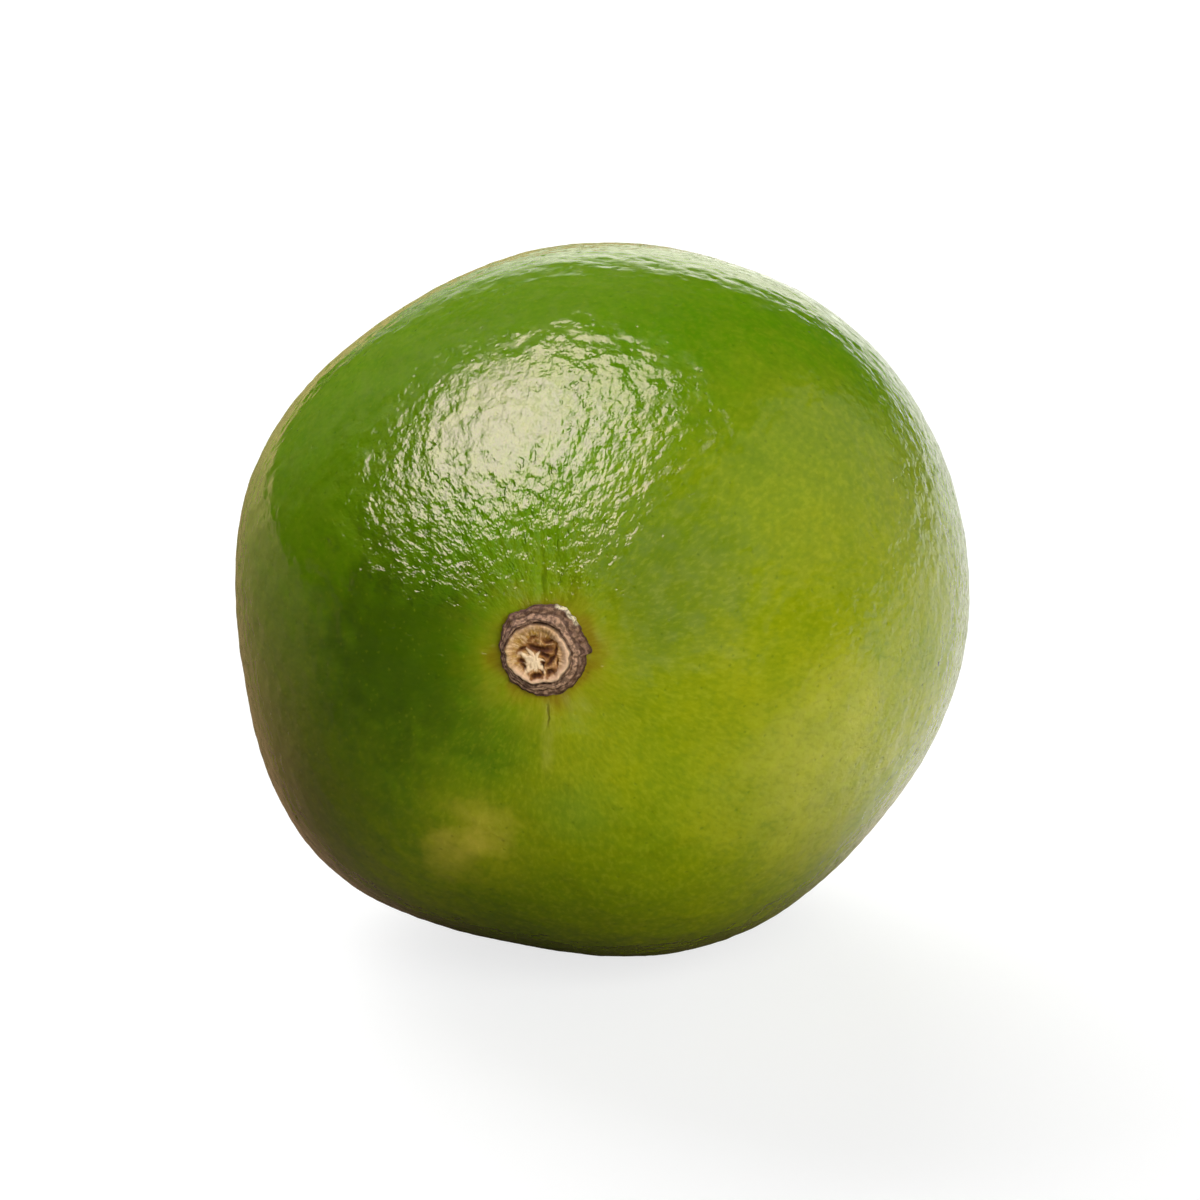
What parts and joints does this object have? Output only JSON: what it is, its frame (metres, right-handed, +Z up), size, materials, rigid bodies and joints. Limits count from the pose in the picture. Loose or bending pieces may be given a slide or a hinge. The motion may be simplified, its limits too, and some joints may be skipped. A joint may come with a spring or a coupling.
{
  "type": "persian lime",
  "caption": "Whole lime with a glossy pitted green rind, a dry stem button and a low stylar nipple, lying on its side.",
  "frame": {"origin": "under the middle of the lime's box, on the surface it rests on", "axes": "+Z up; -Y towards the stem end, whose axis rises 9.7 degrees above the horizontal; +X to the right when facing the stem end"},
  "size_m": [0.056, 0.0632, 0.0542],
  "materials": {
    "rind": "waxy citrus rind with fine oil gland pits, deep green running to yellow-green",
    "dry_stem": "dry matte corky brown with a tan scar"
  },
  "bodies": {
    "root": {"fruit": "rind", "stem_button": "dry_stem"}
  },
  "joints": []
}
